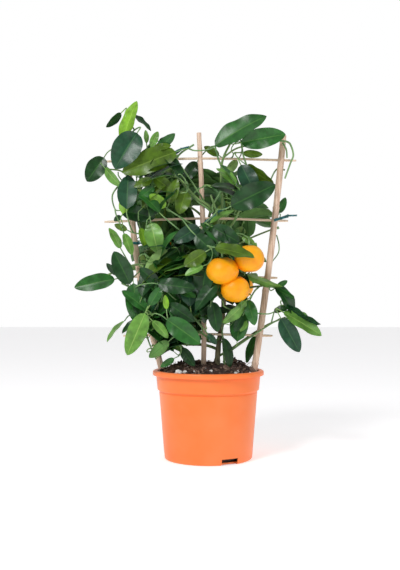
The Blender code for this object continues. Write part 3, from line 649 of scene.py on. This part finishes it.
def make_mix():
    """The heaped mix with bark chunks, fibres and white perlite lying on it."""
    floor = FLOOR + 0.4
    profile = [(0.0, floor), (BASE_RADIUS - NOTCH_DEPTH - 2.0, floor), (inner_radius(14.0) - 0.3, 14.0),
               (inner_radius(BODY_TOP) - 0.3, BODY_TOP),
               (inner_radius(COLLAR_BOTTOM) - 0.3, COLLAR_BOTTOM + 1),
               (inner_radius(SOIL_EDGE) - 0.3, SOIL_EDGE)]
    rings = 44
    edge = inner_radius(SOIL_EDGE) - 0.3
    profile += [(edge * (1 - i / rings), SOIL_EDGE) for i in range(1, rings)] + [(0.0, SOIL_EDGE)]
    batch = Batch()
    batch.add(*lathe(profile, 144, lambda x, y, h: soil_top(x, y) - SOIL_EDGE if h == SOIL_EDGE else 0.0))
    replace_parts(make_piece("mix_surface", batch, [mix_material()], sharp=180), "soil")
    chunks = Batch()
    for _ in range(CHUNKS):
        size = RNG.choice((1.4, 2.0, 2.6, 3.4, 4.6))
        sizes = (size * RNG.uniform(0.9, 1.6), size * RNG.uniform(0.5, 0.9), size * RNG.uniform(0.3, 0.6))
        chunks.add(*rough_lump(on_soil(5.0), sizes, random_turn()), RNG.choice((0, 0, 1, 2)))
    for _ in range(FIBRES):
        place = on_soil(8.0)
        along = Vector((RNG.gauss(0, 1), RNG.gauss(0, 1), RNG.uniform(0, 0.35))).normalized()
        length = RNG.uniform(6, 17)
        bend = Vector((RNG.uniform(-3, 3), RNG.uniform(-3, 3), RNG.uniform(0.5, 3)))
        line = smooth_line((place, place + along * length / 2 + bend, place + along * length), 3)
        chunks.add(*tube(line, taper(0.45, 0.2), 5), 2)
    materials = [crumb_material("bark_dark", (0.020, 0.010, 0.008), (0.075, 0.040, 0.030)),
                 crumb_material("bark_brown", (0.055, 0.028, 0.020), (0.150, 0.085, 0.060)),
                 crumb_material("bark_pale", (0.120, 0.070, 0.050), (0.300, 0.200, 0.150))]
    make_piece("mix_chunks", chunks, materials, sharp=35)
    perlite = Batch()
    for px, py, radius in PERLITE_IN_PHOTO:
        place = from_photo(px, py, PERLITE_DEPTH)
        place.z = soil_top(place.x, place.y, 0.4) + radius * 0.4
        perlite.add(*rough_lump(place, (radius, radius * 0.9, radius * 0.8), random_turn(), 10, 8))
    for _ in range(CRUMBS):
        radius = RNG.uniform(0.7, 2.2)
        perlite.add(*rough_lump(on_soil(5.0), (radius, radius, radius * 0.8), random_turn()))
    white = crumb_material("perlite", (0.72, 0.70, 0.66), (0.95, 0.94, 0.92))
    make_piece("perlite", perlite, [white], sharp=35)


# The trellis

def cane_x(name, height):
    """Where the bowed cane's axis is at a height."""
    spec = CANES[name]
    share = (height - POT_HEIGHT) / (spec["top"][1] - POT_HEIGHT)
    return spec["foot"] + (spec["top"][0] - spec["foot"]) * share + 4 * spec["bow"] * share * (1 - share)


def make_canes():
    """Round canes with swollen node rings and a hollow cut top."""
    for name, spec in CANES.items():
        batch = Batch()
        top = spec["top"][1]
        heights = [CANE_FOOT + (top - CANE_FOOT) * i / CANE_STEPS for i in range(CANE_STEPS + 1)]
        line = [Vector((cane_x(name, z), 0.0, z)) for z in heights]
        radius = spec["diameter"] / 2

        def radius_at(share, turn, radius=radius, name=name, top=top):
            z = CANE_FOOT + (top - CANE_FOOT) * share
            ring = sum(0.55 * math.exp(-((z - node) / 1.3) ** 2)
                       - 0.35 * math.exp(-((z - node - 3.2) / 1.1) ** 2) for node in CANE_NODES[name])
            place = Vector((math.cos(turn) * 1.3, math.sin(turn) * 1.3, z / 26))
            return radius - 0.4 * share - 0.35 + ring + 0.35 * noise.noise(place)

        vertices, faces = tube(line, radius_at, CANE_SIDES)
        faces.pop()
        rim, first = len(vertices) - CANE_SIDES, len(vertices)
        hole = [line[-1] + (v - line[-1]) * CANE_HOLE for v in vertices[rim:]]
        vertices += hole + [v - Vector((0, 0, CANE_HOLE_DEPTH)) for v in hole]
        for i in range(CANE_SIDES):
            j = (i + 1) % CANE_SIDES
            faces.append((rim + i, rim + j, first + j, first + i))
            faces.append((first + i, first + j, first + CANE_SIDES + j, first + CANE_SIDES + i))
        faces.append(tuple(first + CANE_SIDES + i for i in range(CANE_SIDES)))
        batch.add(vertices, faces)
        cane = make_piece(name + "_bamboo", batch, [bamboo_material(name)], sharp=50)
        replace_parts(cane, name)


def make_splints():
    wood = splint_material()
    for name, points in SPLINTS.items():
        batch = Batch()
        line = smooth_line([(x, 0.0, z) for x, z in points], 20)
        batch.add(*tube(line, lambda share, turn: SPLINT_RADIUS * (
            0.95 + 0.10 * noise.noise(Vector((share * 9, math.cos(turn), math.sin(turn)))))
            * (0.72 + 0.28 * min(1.0, share * 30, (1 - share) * 30)), 10))
        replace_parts(make_piece(name + "_wood", batch, [wood], sharp=50), name)


def make_ties():
    """Twist ties: two turns round a cane and a stem, and a twisted pair of ends."""
    batch = Batch()
    for start, end, depth in TIES:
        a, b = from_photo(*start, depth), from_photo(*end, depth)
        middle = (a + b) / 2
        half = (b - a) / 2
        for loop in range(2):
            line = []
            for i in range(25):
                turn = math.tau * i / 24
                line.append(middle + half * math.cos(turn) + Vector((0, -1, 0)) * TIE_REACH * math.sin(turn)
                            + Vector((0, 0, 1)) * (loop * TIE_PITCH + 1.4 * i / 24 - 1.6))
            batch.add(*tube(line, taper(TIE_WIRE, TIE_WIRE), 7))
        for strand in range(2):
            line = []
            for i in range(30):
                turn = math.pi * strand + i * 0.62
                reach = b + (b - a).normalized() * (i * 0.42) + Vector((0, -4.0, -0.12 * i))
                line.append(reach + Vector((0, math.cos(turn), math.sin(turn))) * 0.75)
            batch.add(*tube(line, taper(0.7, 0.6), 6))
    make_piece("twist_ties", batch, [tie_material()])


# Trunk, boughs and twigs

def bark_relief(line, radius_at, depth, seed):
    """Roughens a limb: long grooves that follow it, and finer cracks."""
    def rough(share, turn):
        length = share * len(line)
        round_it = Vector((math.cos(turn), math.sin(turn), 0))
        grooves = noise.noise(round_it * 2.4 + Vector((0, 0, length * 0.10 + seed)))
        cracks = noise.noise(round_it * 5.0 + Vector((0, 0, length * 0.55 + seed)))
        return radius_at(share, turn) * (1.0 + depth * grooves + 0.45 * depth * cracks)
    return rough


def trunk_radius(share, turn):
    height = share * (TRUNK_LINE[-1][2] - TRUNK_LINE[0][2])
    flare = max(0.0, 1.0 - height / FLARE_HEIGHT) ** 2 * (1.0 + 0.35 * math.cos(3 * turn + 0.6))
    tapered = TRUNK_RADII[0] + (TRUNK_RADII[1] - TRUNK_RADII[0]) * share
    return tapered + (FLARE_RADIUS - TRUNK_RADII[0]) * 0.8 * flare


def make_limbs(skeleton):
    """Trunk and boughs with their relief, and the skeleton that twigs start from."""
    batch = Batch()
    line = smooth_line(TRUNK_LINE, 26)
    batch.add(*tube(line, bark_relief(line, trunk_radius, 0.16, 1.0), 20), 0)
    skeleton += line[::6]
    for i, (start, end, points) in enumerate(BOUGHS.values()):
        line = smooth_line(points, 14)
        batch.add(*tube(line, bark_relief(line, taper(start, end), 0.10, float(i)), 12), 1)
        skeleton += line[4::5]
    materials = [bark_material(), shoot_material("green_shoot", (0.10, 0.20, 0.05), (0.20, 0.32, 0.10))]
    limbs = make_piece("woody_limbs", batch, materials)
    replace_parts(limbs, "trunk", *BOUGHS)


def make_shoots(batch, skeleton):
    """The long green shoots that the photograph shows in front of the leaves."""
    for radius, depth, pixels in PHOTO_SHOOTS:
        line = smooth_line([from_photo(px, py, depth) for px, py in pixels], 8)
        batch.add(*tube(line, taper(radius, radius * 0.8), 8), 0)
        skeleton += line[::5]


class Twigs:
    """Grows twigs and petioles from the nearest point of the skeleton."""

    def __init__(self, skeleton):
        self.skeleton = skeleton
        self.batch = Batch()

    def nearest(self, place, heading=None):
        """The skeleton's best point for a twig to a place: near, and not ahead of it."""
        def cost(point):
            way = place - point
            if heading is None or way.length < 0.01:
                return way.length
            return way.length * (1.6 - way.dot(heading) / way.length)
        return min(self.skeleton, key=cost)

    def grow_to(self, place, heading, radius=0.75, lead=9.0):
        """A twig that ends at a place, going in the heading's direction."""
        run_in = place - heading * lead
        start = self.nearest(run_in, heading)
        gap = (run_in - start).length
        thick = radius + min(0.8, gap * 0.012)
        if gap < 1.5:
            points = (start, place)
        else:
            sag = Vector((RNG.uniform(-1, 1), RNG.uniform(-1, 1), RNG.uniform(0, 1))) * gap * 0.06
            bend = start.lerp(run_in, 0.55) - heading * gap * 0.18 + sag
            points = (start, bend, run_in, place)
        line = smooth_line(points, 6)
        self.batch.add(*tube(line, taper(thick, radius), 6), 1 if gap < 12 else 0)
        self.skeleton += line[3:-4:3]
        return line


# Leaves

def leaf_outline(u):
    """Half the blade's width along it: rounded at the base, drawn to a point."""
    return (u ** 0.52) * ((1 - u) ** 0.66) / 0.4496


def leaf_blade(base, tip, normal, width, style, columns, strips):
    """Vertices, faces and sides of one thin closed blade, folded along its midrib."""
    axis = tip - base
    length = axis.length
    along = axis / length
    side = along.cross(normal).normalized()
    up = side.cross(along)
    fold, arch, wave, twist, phase = style
    vertices = []
    for layer in (0.0, -LEAF_THICKNESS):
        for i in range(columns + 1):
            u = i / columns
            half = max(0.3, width / 2 * leaf_outline(u))
            centre = base + axis * u + up * (arch * length * 4 * u * (1 - u))
            turn = twist * (u - 0.5)
            s = side * math.cos(turn) + up * math.sin(turn)
            n = up * math.cos(turn) - side * math.sin(turn)
            for v in strips:
                reach = abs(v)
                ripple = wave * math.sin(math.tau * 2.2 * u + phase + (2.0 if v > 0 else 0.0)) * reach ** 2
                veins = 0.22 * math.sin(math.tau * (6.5 * u - 1.1 * reach)) * reach * (1 - reach) * 4
                lift = half * (fold * reach + ripple) + veins * min(1.0, half / 6)
                vertices.append(centre + s * (half * v * (1 - 0.25 * fold * fold)) + n * (lift + layer))
    count = len(strips)
    sheet = (columns + 1) * count
    faces, kinds = [], []
    middle = (count - 2) // 2
    for i in range(columns):
        for j in range(count - 1):
            a = i * count + j
            rib = 2 if j == middle else 0
            faces.append((a, a + 1, a + 1 + count, a + count))
            kinds.append(rib)
            b = sheet + a
            faces.append((b, b + count, b + 1 + count, b + 1))
            kinds.append(2 if rib else 1)
        a, b = i * count, sheet + i * count
        faces.append((a, a + count, b + count, b))
        a, b = a + count - 1, b + count - 1
        faces.append((a, b, b + count, a + count))
        kinds += [0, 0]
    for j in range(count - 1):
        faces.append((j, sheet + j, sheet + j + 1, j + 1))
        a, b = columns * count + j, sheet + columns * count + j
        faces.append((a, a + 1, b + 1, b))
        kinds += [0, 0]
    return vertices, faces, kinds


def leaf_style(flat=1.0):
    """Fold, arch, edge wave, twist and phase of one leaf."""
    return (RNG.uniform(0.12, 0.38) * flat, RNG.uniform(0.02, 0.10) * flat, RNG.uniform(0.03, 0.12),
            RNG.uniform(-0.35, 0.35) * flat, RNG.uniform(0, 6))


def face_normal(along, lying, lean):
    """The direction that the upper side of a leaf faces."""
    to_camera = Vector((0, -1, 0))
    flat = (to_camera - along * to_camera.dot(along)).normalized()
    across = along.cross(flat)
    upward = 1.0 if across.z >= 0 else -1.0
    if lying == "up":
        return flat * math.cos(lean) + across * upward * math.sin(lean)
    if lying == "down":
        return flat * math.cos(lean) - across * upward * math.sin(lean)
    return -flat * math.cos(lean) + across * upward * math.sin(lean)


def make_photo_leaves(batches, twigs):
    """The leaves that the photograph shows, each joined to the skeleton. Returns them as one surface."""
    placed, seen = [], Batch()
    for base_x, base_y, tip_x, tip_y, width_px, near, far, lying, tint in PHOTO_LEAVES:
        base, tip = from_photo(base_x, base_y, near), from_photo(tip_x, tip_y, far)
        placed.append((base, tip, width_px * (near - CAMERA.y) / FOCAL_PIXELS, lying, tint))
    placed.sort(key=lambda leaf: (twigs.nearest(leaf[0]) - leaf[0]).length)
    for base, tip, seen_width, lying, tint in placed:
        along = (tip - base).normalized()
        full_width = max(seen_width, (tip - base).length / 2.3)
        lean = math.acos(min(1.0, seen_width / full_width))
        normal = face_normal(along, lying, lean)
        blade = leaf_blade(base, tip, normal, full_width, leaf_style(0.7), 26, FINE)
        batches[tint].add(*blade)
        seen.add(*blade)
        twigs.grow_to(base, along)
    return BVHTree.FromPolygons(seen.vertices, seen.faces)


def keep_clear(point):
    """Whether a place hides the sky's gaps or the trellis in the photograph."""
    px, py = to_photo(point)
    for x, y, half_x, half_y in SKY_GAPS:
        if ((px - x) / half_x) ** 2 + ((py - y) / half_y) ** 2 < 1:
            return True
    if point.y > 4:
        return False
    for (ax, ay), (bx, by), space in CLEAR_LINES:
        a, b, p = Vector((ax, ay)), Vector((bx, by)), Vector((px, py))
        share = max(0.0, min(1.0, (p - a).dot(b - a) / (b - a).length_squared))
        if (a.lerp(b, share) - p).length < space:
            return True
    return False


class Crown:
    """The foliage masses of the frame, as one surface to test places against."""

    def __init__(self, seen_leaves):
        self.seen = seen_leaves
        vertices, faces = [], []
        for name in FOLIAGE:
            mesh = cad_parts[name].data
            first = len(vertices)
            vertices += [v.co / MM for v in mesh.vertices]
            faces += [tuple(first + i for i in p.vertices) for p in mesh.polygons]
        self.tree = BVHTree.FromPolygons(vertices, faces)

    def hides(self, point):
        """Whether a mass lies on the line of sight through a place."""
        return self.tree.ray_cast(CAMERA, (point - CAMERA).normalized())[0] is not None

    def covers_seen(self, point):
        """Whether a place would hide a leaf or fruit that the photograph shows."""
        return self.seen.ray_cast(point, (point - CAMERA).normalized())[0] is not None

    def near(self, point, margin):
        """Whether a place is in a mass or within the margin of one."""
        place, normal, _, distance = self.tree.find_nearest(point)
        return distance < margin or (point - place).dot(normal) < 0


def fits(crown, point, margin=9.0):
    return (crown.near(point, margin) and crown.hides(point) and not keep_clear(point)
            and not crown.covers_seen(point))


def grow_spray(crown, twigs, batches, centre, outward, room, front):
    """A twig with leaves set round it, kept where they stay inside the crown."""
    length = RNG.uniform(*SPRAY_LENGTH)
    start = centre - outward * length / 2
    turn = RNG.uniform(0, math.tau)
    side = outward.orthogonal().normalized()
    tint = RNG.choices(list(TINTS), TINT_SHARES)[0]
    roots = []
    for i in range(RNG.randint(*LEAVES_IN_SPRAY)):
        turn += LEAF_TURN + RNG.uniform(-0.3, 0.3)
        open_angle = math.radians(RNG.uniform(*LEAF_ANGLE))
        around = Matrix.Rotation(turn, 3, outward) @ side
        heading = (outward * math.cos(open_angle) + around * math.sin(open_angle)).normalized()
        root = start + outward * length * (0.2 + 0.8 * i / 6)
        size = RNG.uniform(*LEAF_LENGTH)
        base, tip = root + heading * PETIOLE, root + heading * (PETIOLE + size)
        wide = size / RNG.uniform(*LENGTH_TO_WIDTH)
        upward = Vector((0, -0.5 if front else 0.6, 1.0)).normalized()
        across = heading.cross(upward).normalized()
        middle, edge = base.lerp(tip, 0.5), across * wide / 2
        tests = [tip, middle, middle + edge, middle - edge, base.lerp(tip, 0.8)]
        if any(not room(p) or not fits(crown, p) for p in tests):
            continue
        normal = (upward - heading * upward.dot(heading)).normalized()
        own_tint = tint if RNG.random() < 0.75 else RNG.choice(("dark", "mid"))
        batches[own_tint].add(*leaf_blade(base, tip, normal, wide, leaf_style(), 9, PLAIN))
        twigs.batch.add(*tube(smooth_line((root, root.lerp(base, 0.6), base), 2), taper(0.65, 0.55), 5), 1)
        roots.append(root)
    if roots:
        reach = (roots[-1] - start).length
        twigs.grow_to(roots[-1], outward, 0.7, max(2.0, min(reach, (roots[-1] - roots[0]).length + 2.0)))


def fill_mass(crown, twigs, batches, name, sprays):
    """Grows sprays inside one mass, behind the leaves that the photograph shows."""
    low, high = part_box(name)
    low, high = Vector(low) / MM, Vector(high) / MM
    centre, half = (low + high) / 2, (high - low) / 2
    front = centre.y < 0
    nearest_y = max(low.y, FILL_FRONT) if front else low.y

    def room(point):
        return nearest_y - 2 < point.y < high.y + (16 if front else 4) or (not front and point.y > low.y - 14)

    for _ in range(sprays):
        spot = Vector([RNG.uniform(-0.72, 0.72) for _ in range(3)])
        place = centre + Vector([spot[i] * half[i] for i in range(3)])
        place.y = max(place.y, nearest_y + 6)
        outward = Vector((spot.x * 1.2, (-0.6 if front else 0.8) + spot.y * 0.5, spot.z + 0.35)).normalized()
        grow_spray(crown, twigs, batches, place, outward, room, front)


def fill_crown(twigs, batches, seen_leaves):
    crown = Crown(seen_leaves)
    for name in sorted(FOLIAGE):
        low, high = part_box(name)
        size = (Vector(high) - Vector(low)) / MM
        fill_mass(crown, twigs, batches, name, max(2, round(size.x * size.y * size.z / SPRAY_VOLUME)))


# Fruit

def add_fruit(peel, green, twigs, centre, wide, tall, tilt):
    """One flattened fruit, dimpled at both ends, with its calyx and stalk."""
    turned = Matrix.Rotation(math.radians(tilt[1]), 3, "Z") @ Matrix.Rotation(math.radians(tilt[0]), 3, "X")
    directions, faces = ball(56, 36)
    vertices = []
    for direction in directions:
        end = abs(direction.z)
        dimple = 1.0 - 0.09 * max(0.0, (end - 0.86) / 0.14) ** 2
        lumps = 1.0 + 0.012 * noise.noise(direction * 3 + centre * 0.1)
        vertices.append(centre + turned @ Vector((direction.x * wide / 2, direction.y * wide / 2,
                                                  direction.z * tall / 2 * dimple)) * lumps)
    peel.add(vertices, faces)
    crown_point = centre + turned @ Vector((0, 0, tall / 2 * 0.93))
    upward = turned @ Vector((0, 0, 1))
    for i in range(5):
        heading = turned @ Vector((math.cos(math.tau * i / 5), math.sin(math.tau * i / 5), 0.12))
        sepal_tip = crown_point + heading * 4.2
        green.add(*leaf_blade(crown_point, sepal_tip, upward, 3.4, (0.1, 0.02, 0, 0, 0), 6, PLAIN))
    bends = (crown_point, crown_point + upward * 5, crown_point + upward * 9 + Vector((0, 5, 1)))
    stalk = smooth_line(bends, 4)
    twigs.batch.add(*tube(stalk, taper(1.5, 1.1), 8), 0)
    twigs.grow_to(stalk[-1], (stalk[-1] - stalk[-3]).normalized() * -1, 1.0, 0.0)


def make_fruits(twigs):
    peel, green = Batch(), Batch()
    for (px, py), wide, tall, depth, tilt in FRUITS:
        add_fruit(peel, green, twigs, from_photo(px, py, depth), wide, tall, tilt)
    for place, wide, tall, tilt in FRUITS_BEHIND:
        add_fruit(peel, green, twigs, Vector(place), wide, tall, tilt)
    make_piece("fruits", peel, [peel_material()])
    calyx = leaf_material("calyx", (0.12, 0.22, 0.05), 0.6, 0.2, 0.4)
    make_piece("fruit_calyces", green, [calyx, calyx, calyx])


# The whole plant

def make_foliage(skeleton):
    twigs = Twigs(skeleton)
    batches = {tint: Batch() for tint in TINTS}
    make_shoots(twigs.batch, skeleton)
    seen_leaves = make_photo_leaves(batches, twigs)
    make_fruits(twigs)
    fill_crown(twigs, batches, seen_leaves)
    for tint, batch in batches.items():
        top, under, rib = TINTS[tint]
        materials = [leaf_material("leaf_" + tint, top, 0.33, 0.28, 0.38),
                     leaf_material("leaf_under_" + tint, under, 0.6, 0.15, 0.25),
                     leaf_material("leaf_rib_" + tint, rib, 0.45, 0.12, 0.3)]
        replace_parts(make_piece("leaves_" + tint, batch, materials, sharp=75), *FOLIAGE)
    shoots = [shoot_material("shoot_green", (0.10, 0.22, 0.07), (0.22, 0.38, 0.14)),
              shoot_material("petiole_green", (0.12, 0.26, 0.06), (0.26, 0.42, 0.12))]
    make_piece("twigs", twigs.batch, shoots)


# Floor, light and camera

def make_floor():
    mesh = bpy.data.meshes.new("floor")
    half = 6.0
    corners = [(-half, -half, 0), (half, -half, 0), (half, half, 0), (-half, half, 0)]
    mesh.from_pydata(corners, [], [(0, 1, 2, 3)])
    floor = add_object("floor", mesh)
    material, _, shader = new_material("floor", (0.94, 0.93, 0.95), 0.6, Specular_IOR_Level=0.2)
    shader.inputs["Emission Color"].default_value = (1.0, 1.0, 1.0, 1.0)
    shader.inputs["Emission Strength"].default_value = 0.42
    mesh.materials.append(material)


def add_light(name, place, target, size, power, colour=(1.0, 1.0, 1.0)):
    data = bpy.data.lights.new(name, "AREA")
    data.shape = "DISK"
    data.size = size
    data.energy = power
    data.color = colour
    lamp = add_object(name, data)
    lamp.location = place
    lamp.rotation_euler = (Vector(target) - Vector(place)).to_track_quat("-Z", "Y").to_euler()


def make_world():
    """A white studio that shows pure white, and lights the plant less from the camera's side."""
    world = bpy.data.worlds.new("studio")
    world.use_nodes = True
    tree = world.node_tree
    lighting = tree.nodes["Background"]
    seen = tree.nodes.new("ShaderNodeBackground")
    seen.inputs["Color"].default_value = lighting.inputs["Color"].default_value = (1.0, 1.0, 1.0, 1.0)
    place, axes = tree.nodes.new("ShaderNodeTexCoord"), tree.nodes.new("ShaderNodeSeparateXYZ")
    strength = tree.nodes.new("ShaderNodeMapRange")
    strength.inputs["From Min"].default_value = -1.0
    strength.inputs["To Min"].default_value = ROOM_LIGHT
    strength.inputs["To Max"].default_value = BACKDROP_LIGHT
    tree.links.new(place.outputs["Generated"], axes.inputs["Vector"])
    tree.links.new(axes.outputs["Y"], strength.inputs["Value"])
    tree.links.new(strength.outputs["Result"], lighting.inputs["Strength"])
    rays, mix = tree.nodes.new("ShaderNodeLightPath"), tree.nodes.new("ShaderNodeMixShader")
    tree.links.new(rays.outputs["Is Camera Ray"], mix.inputs["Fac"])
    tree.links.new(lighting.outputs["Background"], mix.inputs[1])
    tree.links.new(seen.outputs["Background"], mix.inputs[2])
    tree.links.new(mix.outputs["Shader"], tree.nodes["World Output"].inputs["Surface"])
    bpy.context.scene.world = world


def make_lights():
    add_light("key", (-0.8, -1.3, 1.5), (0, 0, 0.25), 0.6, 20.0)
    add_light("fill", (1.1, -1.0, 0.7), (0, 0, 0.25), 0.8, 4.0)
    bpy.context.scene.view_settings.view_transform = "Standard"
    bpy.context.scene.view_settings.look = "None"


def make_camera():
    data = bpy.data.cameras.new("camera")
    data.sensor_width = SENSOR
    data.lens = FOCAL_PIXELS / PHOTO_HEIGHT * SENSOR
    data.shift_y = (HORIZON - PHOTO_HEIGHT / 2) / PHOTO_HEIGHT
    camera = add_object("camera", data)
    camera.location = CAMERA * MM
    camera.rotation_euler = (math.pi / 2, 0, 0)
    bpy.context.scene.camera = camera


make_camera()
make_world()
make_lights()
make_floor()
make_pot()
make_mix()
make_canes()
make_splints()
make_ties()
bones = []
make_limbs(bones)
make_foliage(bones)
